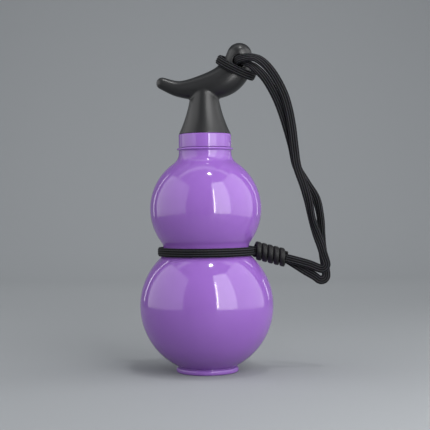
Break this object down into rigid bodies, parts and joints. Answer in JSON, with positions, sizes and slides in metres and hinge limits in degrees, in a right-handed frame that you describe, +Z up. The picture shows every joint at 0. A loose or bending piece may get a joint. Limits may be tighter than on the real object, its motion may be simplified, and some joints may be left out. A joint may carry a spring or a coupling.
{
  "type": "gourd water bottle",
  "caption": "Hollow gourd-shaped water bottle with a screw cap, a curved black stem handle on the cap and a flat braided cord in two legs from the stem to a slip-knotted loop round the waist.",
  "frame": {"origin": "centre of the flat ring that the bottle stands on", "axes": "+Z up the bottle, the stem's beak points to -X, the cord hangs on the +X side, -Y is the front"},
  "size_m": [0.1347, 0.094, 0.2311],
  "materials": {
    "purple_body": "gloss",
    "black_stem": "satin",
    "seal_rubber": "matte",
    "screw_steel": "brushed",
    "black_cord": "braided"
  },
  "bodies": {
    "bottle": {"bottle_shell": "purple_body"},
    "tether": {"lower_leg_outer": "black_cord", "lower_leg_inner": "black_cord", "slip_knot": "black_cord", "knot_core": "black_cord", "waist_cord": "black_cord"},
    "cap": {"cap_shell": "purple_body", "cap_gasket": "seal_rubber", "stem_handle": "black_stem", "stem_screw": "screw_steel", "screw_washer": "seal_rubber", "hitch_cord": "black_cord", "upper_leg_outer": "black_cord", "upper_leg_inner": "black_cord"}
  },
  "joints": [
    {"name": "cap_turn", "type": "hinge", "parent": "bottle", "child": "tether", "pos_m": [0, 0, 0.16], "axis": [0, 0, 1], "range_deg": [0, 720]},
    {"name": "cap_lift", "type": "slide", "parent": "tether", "child": "cap", "axis": [0, 0, 1], "range_m": [0, 0.0065]}
  ],
  "couplings": [
    {"joint": "cap_lift", "follows": "cap_turn", "m_per_rad": 0.0005093}
  ]
}
